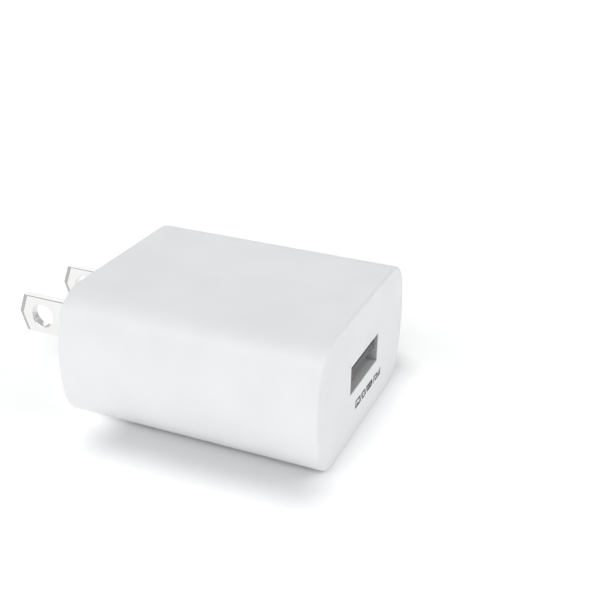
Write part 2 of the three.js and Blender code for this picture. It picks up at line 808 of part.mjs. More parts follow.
// Insulated wire from a blade's tang down through the board.
function makeWire(name, side) {
  const x = side * (bladeSpacing / 2 - bladeThickness / 2 - seatGap * 2 - wireRadius);
  const inward = side * wireInward;
  const tangEnd = coverThickness + shoulderDepth + tangLength;
  const down = -tangEnd - wireRadius - airGap;
  const bottom = boardBottom - leadStub;
  const path = new THREE.CatmullRomCurve3([
    new THREE.Vector3(x, -tangEnd + tangLength * 0.75, 0),
    new THREE.Vector3(x, -tangEnd + tangLength * 0.25, 0),
    new THREE.Vector3(x - inward * 0.6, down + wireRadius / 2, boardTop * 0.3),
    new THREE.Vector3(x - inward, down, boardTop * 0.75),
    new THREE.Vector3(x - inward, down, bottom),
  ]);
  const ring = new THREE.Shape().absarc(0, 0, wireRadius, 0, 2 * Math.PI);
  const geometry = new THREE.ExtrudeGeometry(ring, { steps: 20, curveSegments: 5, extrudePath: path });
  wireHoles.push([x - inward, down]);
  return piece(name, solidOf(geometry), 'wire');
}

// Flat parts soldered to the board's underside: [name, x, distance from the wall face, size, finish].
const flatParts = [
  ['bridge_rectifier', 0, 12.6, [4.8, 3.9, 2.4], 'epoxy'],
  ['controller_ic', -7.5, 20, [4, 5, 1.5], 'epoxy'],
  ['snubber_diode', 8.5, 17, [2.6, 4.3, 2], 'epoxy'],
  ['snubber_resistor', 0, 18, chip, 'chip'],
  ['snubber_capacitor', 0, 20.5, chip, 'chip'],
  ['startup_resistor_1', -12.5, 17.5, chip, 'chip'],
  ['startup_resistor_2', -12.5, 20, chip, 'chip'],
  ['sense_resistor', -12.5, 22.5, chip, 'chip'],
  ['feedback_resistor_1', 12.5, 20, chip, 'chip'],
  ['feedback_resistor_2', 12.5, 22.5, chip, 'chip'],
  ['load_resistor', 4.5, 33, chip, 'chip'],
  ['filter_capacitor', 0, 33, chip, 'chip'],
  ['port_id_chip', -4.5, 33, [2.9, 1.6, 1.1], 'epoxy'],
];

function makeFlatPart(name, x, place, [length, width, height], material) {
  const under = -boardThickness - seatGap;
  const foot = Math.min(height / 3, footThickness);
  const body = block([-length / 2, -width / 2, under - height], [length / 2, width / 2, under - foot / 2]);
  const reach = material === 'epoxy' ? footReach : capReach;
  const feet = [-1, 1].map((side) => {
    const ends = [side * (length / 2 - footGrip), side * (length / 2 + reach)].sort((a, b) => a - b);
    return block([ends[0], -width / 3, under - foot], [ends[1], width / 3, under]);
  });
  return groupAt([x, -place, 0], piece(name, joined([body, ...feet]), material));
}

// ---------------------------------------------------------------- board and barrier

function makeBoard() {
  const middle = [0, (-bodyLength + boardFront - boardBack) / 2];
  const length = bodyLength - boardFront - boardBack;
  const low = [-boardHalfWidth, middle[1] - length / 2, -boardThickness];
  const high = [boardHalfWidth, middle[1] + length / 2, 0];
  let board = block(low, high);
  const drill = (x, y, radius) => rod([x, y, -boardThickness - over], [x, y, over], radius, 10);
  for (const [x, y] of leadHoles) {
    board = board.subtract(drill(x, y, leadRadius + holeGap));
  }
  for (const [x, y] of wireHoles) {
    board = board.subtract(drill(x, y, wireRadius + holeGap));
  }
  const slot = (x, y, halfX, halfY) =>
    block([x - halfX, y - halfY, -boardThickness - over], [x + halfX, y + halfY, over]);
  for (const x of contactPlaces) {
    const y = -bodyLength + terminalBack + contactThickness / 2;
    board = board.subtract(slot(x, y, contactWidth / 2 + holeGap, contactThickness / 2 + holeGap));
  }
  for (const side of [-1, 1]) {
    const x = side * (shellWidth / 2 - sheetThickness / 2);
    const halfX = sheetThickness / 2 + holeGap;
    board = board.subtract(slot(x, -bodyLength + legPlace, halfX, legWidth / 2 + holeGap));
  }
  return board;
}

// A stiff sheet that keeps the mains side and the port side apart.
function makeBarrier() {
  const section = prism(bodyOutline(caseWall + airGap), barrierThickness, 'xz', [0, -barrierPlace, 0]);
  const x = railInner - airGap;
  const floor = boardTop + airGap;
  return section.intersect(block([-x, -bodyLength, floor], [x, 0, bodyHeight]));
}

// ---------------------------------------------------------------- assembly

const besideCore = coreWidth / 2 + tapeThickness + airGap;
const capacitorX = besideCore + inputCapacitor.diameter / 2;
const capacitorFront = -transformerPlace - inputCapacitor.length / 2;
const outputFirst = -bodyLength + frontWall + airGap * 3 + outputCapacitor.diameter / 2;
const outputSecond = outputFirst + outputCapacitor.diameter + airGap / 2;
const diodeX = -besidePort - diode.diameter / 2 - airGap;
const diodeY = -bodyLength + frontWall + airGap * 3 + diode.diameter / 2;
const safetyY = diodeY + diode.diameter / 2 + safetyDisc.radius + airGap;
const behindTangs = -coverThickness - shoulderDepth - tangLength - airGap;

const onBoard = groupAt(
  [0, 0, boardTop],
  makeTransformer(),
  lyingCapacitor('input_capacitor_1', inputCapacitor, -capacitorX, capacitorFront),
  lyingCapacitor('input_capacitor_2', inputCapacitor, capacitorX, capacitorFront),
  standingCapacitor('output_capacitor_1', outputCapacitor, outputX, outputFirst),
  standingCapacitor('output_capacitor_2', outputCapacitor, outputX, outputSecond),
  standingCapacitor('supply_capacitor', supplyCapacitor, 0, behindTangs - supplyCapacitor.diameter / 2),
  makeFuseResistor(fuseResistor.x, behindTangs - fuseResistor.diameter),
  makeChoke(choke.x, behindTangs - choke.diameter / 2 + airGap),
  makeSafetyCapacitor(diodeX, safetyY),
  makeDiode(diodeX, diodeY),
  ...flatParts.map((part) => makeFlatPart(...part)),
);

const bladeSolid = makeBlade();
const bladeLeft = piece('blade_left', bladeSolid, 'blade');
const bladeRight = piece('blade_right', bladeSolid, 'blade');
bladeLeft.position.x = -bladeSpacing / 2;
bladeRight.position.x = bladeSpacing / 2;

const charger = new THREE.Group();
charger.add(
  piece('housing', makeHousing(), 'case'),
  piece('back_cover', makeCover(), 'case'),
  bladeLeft,
  bladeRight,
  makePort(),
  makeWire('wire_left', -1),
  makeWire('wire_right', 1),
  onBoard,
  piece('insulation_barrier', makeBarrier(), 'barrier'),
);
onBoard.add(piece('main_board', makeBoard(), 'board'));

export default charger;
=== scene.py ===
# %% [markdown]
# # A USB wall charger
#
# A small mains charger lying on its broad side: a white moulded case with gently bulged sides, two
# flat metal blades on one end and a USB port in the other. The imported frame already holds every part
# at its real place and size. This lesson makes the parts that show again, with the rounding, the
# tapers and the thin edges that a real moulding or stamping has, and gives every part its finish.
#
# All modelling is in millimetres and is turned to metres once, when a mesh is finished.

# %% Load the frame
import json
from math import asin, atan2, cos, pi, radians, sin, sqrt

import bmesh
import bpy
from mathutils import Matrix, Vector


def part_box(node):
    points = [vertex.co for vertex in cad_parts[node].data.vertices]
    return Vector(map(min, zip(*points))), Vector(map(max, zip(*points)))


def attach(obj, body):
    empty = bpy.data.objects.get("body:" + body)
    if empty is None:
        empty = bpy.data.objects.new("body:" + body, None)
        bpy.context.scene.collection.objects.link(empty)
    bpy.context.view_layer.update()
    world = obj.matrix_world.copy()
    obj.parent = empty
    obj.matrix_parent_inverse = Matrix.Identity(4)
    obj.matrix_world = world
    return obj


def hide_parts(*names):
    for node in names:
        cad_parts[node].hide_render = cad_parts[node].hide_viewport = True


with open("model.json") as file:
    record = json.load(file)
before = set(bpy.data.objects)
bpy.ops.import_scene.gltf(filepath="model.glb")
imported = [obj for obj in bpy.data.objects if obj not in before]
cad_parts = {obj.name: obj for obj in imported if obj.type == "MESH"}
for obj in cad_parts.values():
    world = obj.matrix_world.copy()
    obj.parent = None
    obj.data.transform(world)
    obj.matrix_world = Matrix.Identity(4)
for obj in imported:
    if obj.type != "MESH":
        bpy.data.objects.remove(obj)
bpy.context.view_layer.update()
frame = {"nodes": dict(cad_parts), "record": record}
MM = 0.001
print("nodes in the frame:", len(frame["nodes"]))


def box_mm(node):
    low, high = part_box(node)
    return low / MM, high / MM


# %% [markdown]
# ## Camera
#
# The charger is seen from its left and a little above, with the port end to the right. A camera that is
# described by the way it looks (azimuth, elevation, roll) and how far it stands off is easier to
# adjust than one placed by raw coordinates, so its matrix is built from those.

# %% Camera
AZIMUTH = radians(-67.9)
ELEVATION = radians(25.6)
ROLL = radians(1.26)
LOOKS_AT = Vector((6.1, -29.3, 5.5)) * MM
STANDS_OFF = 163.7 * MM
LENS = 60.9


def camera_matrix():
    back = Vector((sin(AZIMUTH) * cos(ELEVATION), -cos(AZIMUTH) * cos(ELEVATION), sin(ELEVATION)))
    right = (-back).cross(Vector((0, 0, 1))).normalized()
    up = right.cross(-back)
    turned_right = right * cos(ROLL) + up * sin(ROLL)
    turned_up = up * cos(ROLL) - right * sin(ROLL)
    place = LOOKS_AT + back * STANDS_OFF
    return Matrix.Translation(place) @ Matrix((turned_right, turned_up, back)).transposed().to_4x4()


lens_data = bpy.data.cameras.new("camera")
lens_data.lens = LENS
lens_data.clip_start = 0.01
camera = bpy.data.objects.new("camera", lens_data)
camera.matrix_world = camera_matrix()
bpy.context.scene.collection.objects.link(camera)
bpy.context.scene.camera = camera
print("camera at", [round(v / MM, 1) for v in camera.matrix_world.translation], "mm")

# %% [markdown]
# ## Floor and light
#
# A white object on a white floor is told apart by its shadows alone. The floor glows, painted light
# that keeps it white right to the edge and also lights the charger from below. Close round the
# charger the glow is taken away, which paints a soft shadow there.
#
# The sky is bright all round, as in a white tent, and brightest up on the left where a large softbox
# would hang. Cards then shape it. A dark one overhead leaves the flat top greyer than the shoulder
# beside it, and gives the polished blades something dark to mirror. Another low on the left shades
# the bulged side, and a grey one before the port shades that end. A small lamp above the port lights
# its inside, and a bright card beyond the blades shows in their points. Area lights could do the
# same, but they would show as hard squares in the metal. Cards painted on the sky have soft edges and
# are never in the camera's way.

# %% Floor
FLOOR_SIZE = 30000
FLOOR_GLOW = 0.40
# Painted shadow: the glow fades in over GLOW_REACH mm outside a rectangle round the charger, set by its
# middle and half sizes.
GLOW_REACH = 9
PAINTED_SHADOW_MIDDLE = -25
PAINTED_SHADOW_HALF_WIDTH, PAINTED_SHADOW_HALF_LENGTH = 19, 14


def linear(code):
    """An sRGB hex colour as linear red, green, blue and alpha."""
    parts = [int(code[i:i + 2], 16) / 255 for i in (1, 3, 5)]
    return [c / 12.92 if c <= 0.04045 else ((c + 0.055) / 1.055) ** 2.4 for c in parts] + [1]


def add_node(tree, kind, inputs=None, **settings):
    """Adds a node with its settings, and sets or links each input, by its name or number."""
    made = tree.nodes.new(kind)
    for name, value in settings.items():
        setattr(made, name, value)
    for name, value in (inputs or {}).items():
        if isinstance(value, bpy.types.NodeSocket):
            tree.links.new(value, made.inputs[name])
        else:
            made.inputs[name].default_value = value
    return made


def shader_of(material):
    material.use_nodes = True
    return next(n for n in material.node_tree.nodes if n.type == "BSDF_PRINCIPLED")


# Matt white paint, which gives no mirror image of the charger.
floor_finish = bpy.data.materials.new("matt_white_floor")
floor_shader = shader_of(floor_finish)
floor_shader.inputs["Base Color"].default_value = linear("#E4E4E4")
floor_shader.inputs["Roughness"].default_value = 0.9
floor_shader.inputs["Specular IOR Level"].default_value = 0.1
floor_shader.inputs["Emission Color"].default_value = (1, 1, 1, 1)
tree = floor_finish.node_tree
# Painted shadow: the emission is none inside a rectangle round the charger and ramps to full a few
# millimetres beyond it.
middle = Vector((0, PAINTED_SHADOW_MIDDLE * MM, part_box("housing")[0].z))
painted_shadow_half = Vector((PAINTED_SHADOW_HALF_WIDTH, PAINTED_SHADOW_HALF_LENGTH, 0)) * MM
place = add_node(tree, "ShaderNodeTexCoord").outputs["Object"]
for operation, amount in (("SUBTRACT", middle), ("ABSOLUTE", None), ("SUBTRACT", painted_shadow_half),
                          ("MAXIMUM", Vector((0, 0, 0))), ("LENGTH", None)):
    inputs = {0: place} if amount is None else {0: place, 1: amount}
    step = add_node(tree, "ShaderNodeVectorMath", inputs, operation=operation)
    place = step.outputs["Value" if operation == "LENGTH" else "Vector"]
glow = add_node(tree, "ShaderNodeMapRange", {
    "Value": place, "From Min": 0.0, "From Max": GLOW_REACH * MM, "To Min": 0.0, "To Max": FLOOR_GLOW,
}, interpolation_type="SMOOTHSTEP")
tree.links.new(glow.outputs["Result"], floor_shader.inputs["Emission Strength"])

floor_mesh = bmesh.new()
bmesh.ops.create_grid(floor_mesh, x_segments=1, y_segments=1, size=FLOOR_SIZE * MM / 2)
bmesh.ops.translate(floor_mesh, vec=(0, 0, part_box("housing")[0].z), verts=floor_mesh.verts)
floor_data = bpy.data.meshes.new("floor")
floor_mesh.to_mesh(floor_data)
floor_mesh.free()
floor = bpy.data.objects.new("floor", floor_data)
floor.data.materials.append(floor_finish)
bpy.context.scene.collection.objects.link(floor)

# %% Sky
SKY_SIDES = 0.53
SOFTBOX_EXTRA = 3.1
SOFTBOX = ((-0.72, 0.16, 0.69), 0.78, 0.98)

# Where each card hangs, the cosines of the angles where its soft edge starts and ends, and what it
# multiplies the sky by.
CARDS = {
    "dark card overhead": ((-0.15, 0.30, 0.94), 0.82, 0.955, 0.05),
    "dark card low on the left": ((-1, 0.1, 0), 0.80, 0.95, 0.0),
    "grey card before the port": ((-0.4, -1, 0), 0.5, 0.95, 0.2),
    "small lamp above the port": ((0.1, -0.75, 0.65), 0.90, 0.98, 5.5),
    "bright card beyond the blades": ((0.84, 0.34, 0.43), 0.92, 0.975, 2.1),
}

bpy.context.scene.view_settings.view_transform = "Standard"
sky = bpy.data.worlds.new("studio")
bpy.context.scene.world = sky
sky.use_nodes = True
tree = sky.node_tree
direction = add_node(tree, "ShaderNodeTexCoord").outputs["Generated"]


def patch(towards, edge, core, outside, inside):
    """A round soft-edged patch of sky: one value outside it and another inside."""
    middle_way = Vector(towards).normalized()
    near = add_node(tree, "ShaderNodeVectorMath", {0: direction, 1: middle_way}, operation="DOT_PRODUCT")
    return add_node(tree, "ShaderNodeMapRange", {
        "Value": near.outputs["Value"], "From Min": edge, "From Max": core,
        "To Min": outside, "To Max": inside,
    }, interpolation_type="SMOOTHSTEP").outputs["Result"]


strength = patch(*SOFTBOX, SKY_SIDES, SKY_SIDES + SOFTBOX_EXTRA)
for name, (towards, edge, core, share) in CARDS.items():
    factors = {0: strength, 1: patch(towards, edge, core, 1.0, share)}
    strength = add_node(tree, "ShaderNodeMath", factors, operation="MULTIPLY").outputs["Value"]
    print(name, "multiplies the sky by", share)
background = next(n for n in tree.nodes if n.type == "BACKGROUND")
background.inputs["Color"].default_value = linear("#FDFEFF")
tree.links.new(strength, background.inputs["Strength"])
print("sky strength", SKY_SIDES, "at the sides and", SKY_SIDES + SOFTBOX_EXTRA, "in the softbox")

# %% [markdown]
# ## Finishes
#
# Each material starts from what the real part is made of. A moulded white plastic is never quite
# flat: the steel mould was spark-eroded, which leaves a fine grain, and the plastic shrinks a little
# unevenly. Metals are told apart by how they were rolled, plated or drawn. Painted textures could
# carry such marks, but they would need unwrapped parts. Noise in millimetres on Object coordinates
# needs none, stays on the part as it moves, and is the same size on a large part and a small one.

# %% What every finish shares
finishes = {}


def new_finish(name, colour, roughness, metallic=0.0, ior=None):
    """A material named for its finish, with its plain values on the shader's own sockets."""
    material = bpy.data.materials.new(name)
    shader = shader_of(material)
    shader.inputs["Base Color"].default_value = linear(colour)
    shader.inputs["Roughness"].default_value = roughness
    shader.inputs["Metallic"].default_value = metallic
    if ior is not None:
        shader.inputs["IOR"].default_value = ior
    material.diffuse_color = linear(colour)
    print(name, colour, "roughness", roughness, "metallic", metallic)
    return material, material.node_tree, shader


def stretched(tree, grain):
    """Object coordinates scaled so that one unit is one grain, given as millimetres along X, Y and Z."""
    where = add_node(tree, "ShaderNodeTexCoord").outputs["Object"]
    scale = [1 / (size * MM) for size in grain]
    return add_node(tree, "ShaderNodeMapping", {"Vector": where, "Scale": scale}).outputs["Vector"]


def textured(tree, shader, grain, depth, detail=3.0):
    """A noise of the given grain in millimetres, as a bump of the given depth in millimetres."""
    noise = add_node(tree, "ShaderNodeTexNoise", {
        "Vector": stretched(tree, grain), "Scale": 1.0, "Detail": detail,
    }).outputs["Fac"]
    bump = add_node(tree, "ShaderNodeBump", {
        "Height": noise, "Distance": depth * MM, "Strength": 1.0,
    })
    if shader.inputs["Normal"].links:
        tree.links.new(shader.inputs["Normal"].links[0].from_socket, bump.inputs["Normal"])
    tree.links.new(bump.outputs["Normal"], shader.inputs["Normal"])
    return noise


def mottled(tree, shader, noise, light, dark, low=0.35, high=0.65):
    """The noise drives the colour between two close shades."""
    ramp = add_node(tree, "ShaderNodeValToRGB", {"Fac": noise})
    ramp.color_ramp.elements[0].position = low
    ramp.color_ramp.elements[1].position = high
    ramp.color_ramp.elements[0].color = linear(dark)
    ramp.color_ramp.elements[1].color = linear(light)
    tree.links.new(ramp.outputs["Color"], shader.inputs["Base Color"])


def rubbed(tree, shader, noise, smooth, rough):
    """The noise drives the roughness between two values."""
    span = add_node(tree, "ShaderNodeMapRange", {"Value": noise, "To Min": smooth, "To Max": rough})
    tree.links.new(span.outputs["Result"], shader.inputs["Roughness"])


# %% Case: satin white ABS and polycarbonate, moulded in a spark-eroded tool
# The grain spreads each highlight wide, and uneven shrinkage shifts the white a little. A real
# grain is nearer 0.05 mm across, and is drawn at 0.22 mm so that it shows.
material, tree, shader = new_finish("satin_white_abs", "#F1F2F2", 0.42, ior=1.52)
skin = textured(tree, shader, (0.22, 0.22, 0.22), 0.0012)
sink = textured(tree, shader, (9, 9, 9), 0.02, detail=1.0)
mottled(tree, shader, sink, "#F2F3F3", "#EFF0F1")
rubbed(tree, shader, skin, 0.38, 0.48)
finishes["case_plastic"] = material

# %% Blades: brass strip, rolled lengthwise, then bright nickel plated
# Almost a mirror, broken by faint marks along the blade.
material, tree, shader = new_finish("bright_nickel_plate", "#F0F0EE", 0.12, metallic=1.0)
rolled = textured(tree, shader, (0.12, 3.0, 0.12), 0.0008)
rubbed(tree, shader, rolled, 0.07, 0.16)
finishes["blade_metal"] = material

# The coining die is rougher than the rolls were, and the facet's colour is also set well darker than the
# flats' nickel, a painted shade, so a facet reads as a plain grey.
material, tree, shader = new_finish("coined_nickel_facet_painted_grey", "#B4B4B2", 0.28, metallic=1.0)
rubbed(tree, shader, textured(tree, shader, (0.15, 0.15, 0.15), 0.001), 0.22, 0.34)
finishes["coined"] = material

# %% Shell: tin-plated steel sheet, folded round a former
# Dull tin is pale grey and hardly mirrors, so it is set close to a plain grey paint: deep in a
# narrow port, a bright metal would find nothing to mirror and turn black.
material, tree, shader = new_finish("dull_tinned_steel", "#CCCECF", 0.5, metallic=0.1)
tin = textured(tree, shader, (0.5, 1.5, 0.5), 0.002)
rubbed(tree, shader, tin, 0.4, 0.52)
finishes["shell_steel"] = material

# %% Tongue: mid-grey glass-filled polyester, with faint flow marks
# A matt grey, with flow marks that show only up close.
material, tree, shader = new_finish("glass_filled_polyester", "#4A4B4C", 0.5, ior=1.57)
flow = textured(tree, shader, (0.35, 0.9, 0.35), 0.004)
mottled(tree, shader, flow, "#4D4E4F", "#464748")
finishes["insulator_plastic"] = material

# %% Contacts: phosphor bronze with a gold flash
# Warm and bright, with faint lines along the strip.
material, tree, shader = new_finish("gold_flashed_bronze", "#E0BC6A", 0.22, metallic=1.0)
drawn = textured(tree, shader, (0.08, 1.2, 0.08), 0.001)
rubbed(tree, shader, drawn, 0.18, 0.3)
finishes["contact_gold"] = material

# %% Board: paper-phenolic laminate, brown and faintly fibrous
# A warm brown with paler threads of paper along it.
material, tree, shader = new_finish("paper_phenolic_laminate", "#B28A55", 0.55, ior=1.55)
fibre = textured(tree, shader, (0.3, 2.4, 0.3), 0.006)
mottled(tree, shader, fibre, "#BD9560", "#A37C49")
finishes["board_laminate"] = material

# %% Ferrite: sintered and ground, a dull near-black with a fine grain
# Dark, dull and grainy, like slate.
material, tree, shader = new_finish("sintered_ferrite", "#3C3D3F", 0.7, ior=2.0)
sinter = textured(tree, shader, (0.12, 0.12, 0.12), 0.006, detail=6.0)
mottled(tree, shader, sinter, "#454648", "#333436")
finishes["ferrite"] = material

# %% Bobbin: black phenolic, moulded
# Black with a soft sheen.
material, tree, shader = new_finish("moulded_phenolic", "#1E1E1F", 0.45, ior=1.6)
rubbed(tree, shader, textured(tree, shader, (0.4, 0.4, 0.4), 0.003), 0.4, 0.52)
finishes["bobbin_resin"] = material

# %% Windings: enamelled copper, laid in close turns 0.3 mm apart
# A wave texture at scale 1 repeats 20 / (2 pi) times in one unit, so this scale makes it repeat once.
ONE_WAVE = 0.314
TURN_PITCH = 0.3
# A copper glint along each turn from the bumped rounds, with a painted highlight along each crest and
# painted shade in the line between turns.
material, tree, shader = new_finish("enamelled_copper", "#B86A38", 0.28, metallic=1.0)
turns = add_node(tree, "ShaderNodeTexWave", {
    "Vector": stretched(tree, (TURN_PITCH, TURN_PITCH, TURN_PITCH)), "Scale": ONE_WAVE,
}, wave_type="BANDS", bands_direction="Y").outputs["Fac"]
rounds = add_node(tree, "ShaderNodeBump", {"Height": turns, "Distance": TURN_PITCH * MM / 3})
tree.links.new(rounds.outputs["Normal"], shader.inputs["Normal"])
# Painted shade and highlight: the colour is darker between the turns and lighter along their crests.
mottled(tree, shader, turns, "#C87A44", "#8E4A22", low=0.1, high=0.7)
finishes["copper_wire"] = material

# %% Tape: yellow polyester film, wound in layers
# A clear gloss over yellow, with shallow wrinkles.
material, tree, shader = new_finish("yellow_polyester_tape", "#E8C437", 0.3, ior=1.6)
wrinkle = textured(tree, shader, (1.4, 1.4, 0.5), 0.012)
mottled(tree, shader, wrinkle, "#EBCB48", "#DDB52C")
shader.inputs["Coat Weight"].default_value = 0.2
finishes["polyester_tape"] = material

# %% Cans and sleeves: drawn aluminium under shrunk PVC
# A pale metal, streaked up the can by the drawing punch.
material, tree, shader = new_finish("drawn_aluminium", "#D0D2D4", 0.3, metallic=1.0)
rubbed(tree, shader, textured(tree, shader, (0.15, 0.15, 2.5), 0.001), 0.24, 0.38)
finishes["capacitor_can"] = material

# Dark blue and shiny, and a little uneven where it shrank.
material, tree, shader = new_finish("shrunk_pvc_sleeve", "#27365A", 0.28, ior=1.54)
shrunk = textured(tree, shader, (1.1, 1.1, 1.1), 0.01)
mottled(tree, shader, shrunk, "#2B3B62", "#223052")
finishes["capacitor_sleeve"] = material

# %% Resins: black moulded epoxy, blue dipped epoxy and the flameproof resistor coat
# A flat black with a fine speckle.
material, tree, shader = new_finish("black_moulded_epoxy", "#1C1C1D", 0.6, ior=1.56)
mottled(tree, shader, textured(tree, shader, (0.1, 0.1, 0.1), 0.004, detail=5.0), "#222223", "#161617")
finishes["black_epoxy"] = material

# Shiny blue with a wavy skin, since it was dipped and not moulded.
material, tree, shader = new_finish("blue_dipped_epoxy", "#2F63A8", 0.32, ior=1.56)
mottled(tree, shader, textured(tree, shader, (1.6, 1.6, 1.6), 0.03), "#3369B0", "#295A9C")
finishes["blue_epoxy"] = material

# A dull green, like cement paint.
material, tree, shader = new_finish("flameproof_coating", "#6F8F5A", 0.5, ior=1.5)
mottled(tree, shader, textured(tree, shader, (0.5, 0.5, 0.5), 0.01), "#779762", "#668652")
finishes["resistor_coating"] = material

# %% Chips, wire and barrier: fired ceramic, soft PVC and vulcanised fibre paper
# A grey brown, slightly sugary.
material, tree, shader = new_finish("fired_chip_ceramic", "#5B5148", 0.5, ior=1.7)
mottled(tree, shader, textured(tree, shader, (0.2, 0.2, 0.2), 0.003), "#645A50", "#524940")
finishes["chip_ceramic"] = material

# Black, between matt and glossy.
material, tree, shader = new_finish("soft_pvc_insulation", "#202123", 0.45, ior=1.53)
rubbed(tree, shader, textured(tree, shader, (0.6, 0.6, 0.6), 0.005), 0.4, 0.52)
finishes["wire_insulation"] = material

# An off-white card, with fibres that run across it.
material, tree, shader = new_finish("vulcanised_fibre", "#E2DECF", 0.6, ior=1.5)
mottled(tree, shader, textured(tree, shader, (1.8, 0.3, 0.3), 0.008), "#E8E5D8", "#D8D3C1")
finishes["barrier_film"] = material

# %% Ink: pad-printed black, a film a few hundredths of a millimetre thick
# A near-black that is not quite even, as a stamped film is.
material, tree, shader = new_finish("pad_print_ink", "#121213", 0.5, ior=1.5)
mottled(tree, shader, textured(tree, shader, (0.08, 0.08, 0.08), 0.002), "#19191A", "#0C0C0D")
finishes["ink"] = material
print("finishes made:", len(finishes))

# %% [markdown]
# ## Finishes on the frame's parts
#
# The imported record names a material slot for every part, and the finishes above are kept by those
# names. So one loop dresses the whole frame, board and all, and a part that is made again later takes
# its finish by the same slot.

# %% Give every part of the frame its finish
slots = {part["node"]: part["material_slot"] for part in frame["record"]["subparts"]}
for name, part in frame["nodes"].items():
    part.data.materials.clear()
    part.data.materials.append(finishes[slots[name]])
print("parts finished:", len(slots))

# %% [markdown]
# ## Tools for outlines
#
# The case has one cross-section all along: a flat top and bottom, round corners and two bulged
# sides, each arc running into the next. Such a closed outline could be typed as points, but spinning
# one vertex about each arc's centre draws it exactly, with as many steps as wanted. Two outlines are
# then bridged to make a wall, so a hollow moulding is a stack of outlines.

# %% Sizes of the case section
BODY_LOW, BODY_HIGH = box_mm("housing")
BODY_WIDTH = BODY_HIGH.x - BODY_LOW.x
BODY_HEIGHT = BODY_HIGH.z - BODY_LOW.z
INK_HEIGHT = 0.02
PORT_Y = BODY_LOW.y + INK_HEIGHT
SIDE_RADIUS = 26
CORNER_RADIUS = 6
CORNER_STEPS = 20
SIDE_STEPS = 20
print("body", round(BODY_WIDTH, 2), "x", round(-PORT_Y, 2), "x", round(BODY_HEIGHT, 2), "mm")


# %% Arcs and outlines
def moved_on(bm, vert, to):
    """Draws an edge from a vertex to a new one."""
    made = bmesh.ops.extrude_vert_indiv(bm, verts=[vert])["verts"][0]
    made.co = to
    return made


def swung(bm, vert, centre, angle, steps):
    """Draws an arc from a vertex, about an axis along Y, and returns its last vertex."""
    made = bmesh.ops.spin(bm, geom=[vert], cent=centre, axis=(0, 1, 0), angle=angle, steps=steps)
    return next(g for g in made["geom_last"] if isinstance(g, bmesh.types.BMVert))


def closed(bm, first, last, before):
    """Joins an outline's ends and returns its edges."""
    bm.edges.new((last, first))
    return [e for e in bm.edges if e not in before]


def case_outline(bm, inset, y):
    """The case's section drawn in by an inset, at one place along Y."""
    before = set(bm.edges)
    centre = BODY_WIDTH / 2 - SIDE_RADIUS
    corner_z = BODY_HEIGHT / 2 - CORNER_RADIUS
    reach = SIDE_RADIUS - CORNER_RADIUS
    corner_x = centre + sqrt(reach ** 2 - corner_z ** 2)
    turn = asin(corner_z / reach)
    top = BODY_HEIGHT / 2 - inset
    vert = first = bm.verts.new((corner_x, y, top))
    for side in (1, -1):
        if side == -1:
            vert = moved_on(bm, vert, (-corner_x, y, -top))
        upper = (side * corner_x, y, side * corner_z)
        lower = (side * corner_x, y, -side * corner_z)
        vert = swung(bm, vert, upper, pi / 2 - turn, CORNER_STEPS)
        vert = swung(bm, vert, (side * centre, y, 0), 2 * turn, SIDE_STEPS)
        vert = swung(bm, vert, lower, pi / 2 - turn, CORNER_STEPS)
    return closed(bm, first, vert, before)


def slot_outline(bm, middle, width, height, radius, steps=4):
    """A rectangle with round corners in a plane across Y."""
    before = set(bm.edges)
    x, y, z = middle
    w, h = width / 2 - radius, height / 2 - radius
    corners = [(x + w, z + h), (x + w, z - h), (x - w, z - h), (x - w, z + h)]
    starts = [(0, radius), (radius, 0), (0, -radius), (-radius, 0)]
    vert = first = None
    for (cx, cz), (dx, dz) in zip(corners, starts):
        to = (cx + dx, y, cz + dz)
        vert = moved_on(bm, vert, to) if vert else bm.verts.new(to)
        first = first or vert
        vert = swung(bm, vert, (cx, y, cz), pi / 2, steps)
    return closed(bm, first, vert, before)


def edges_among(bm, verts):
    """The edges that run between the given vertices, in the mesh's own order."""
    chosen = set(verts)
    return [e for e in bm.edges if e.verts[0] in chosen and e.verts[1] in chosen]


def walled(bm, *outlines):
    """Bridges each outline to the next, all with the same number of points."""
    for one, other in zip(outlines, outlines[1:]):
        bmesh.ops.bridge_loops(bm, edges=one + other)


def plate(bm, *outlines):
    """Fills the flat face between an outline and the holes in it."""
    bmesh.ops.triangle_fill(bm, edges=[e for outline in outlines for e in outline], use_beauty=True)


def quarter(radius, steps):
    """A quarter round, as pairs of how far it is drawn in and how far it stands back."""
    turns = [pi / 2 * i / steps for i in range(steps + 1)]
    return [(radius * (1 - sin(t)), radius * (1 - cos(t))) for t in turns]


def rounded(bm, edges, radius):
    """Breaks edges with a small round of two facets."""
    bmesh.ops.bevel(bm, geom=edges, offset=radius, segments=2, profile=0.5,
                    affect="EDGES", material=-1, clamp_overlap=True)


# %% [markdown]
# ## Finishing a piece
#
# Every piece ends the same way, so one function does it. Stray double points are merged, the faces
# are turned outwards and the millimetres become metres. Faces that meet at a small angle are shaded
# as one smooth surface, and the weighted normals keep the large flat faces looking flat. The piece
# is then hung on the body it rides on and takes the finish of its slot, and the part of the frame
# that it stands for is hidden.

# %% Finishing a piece
SAME_PLACE = 1e-4
SHARP = radians(40)


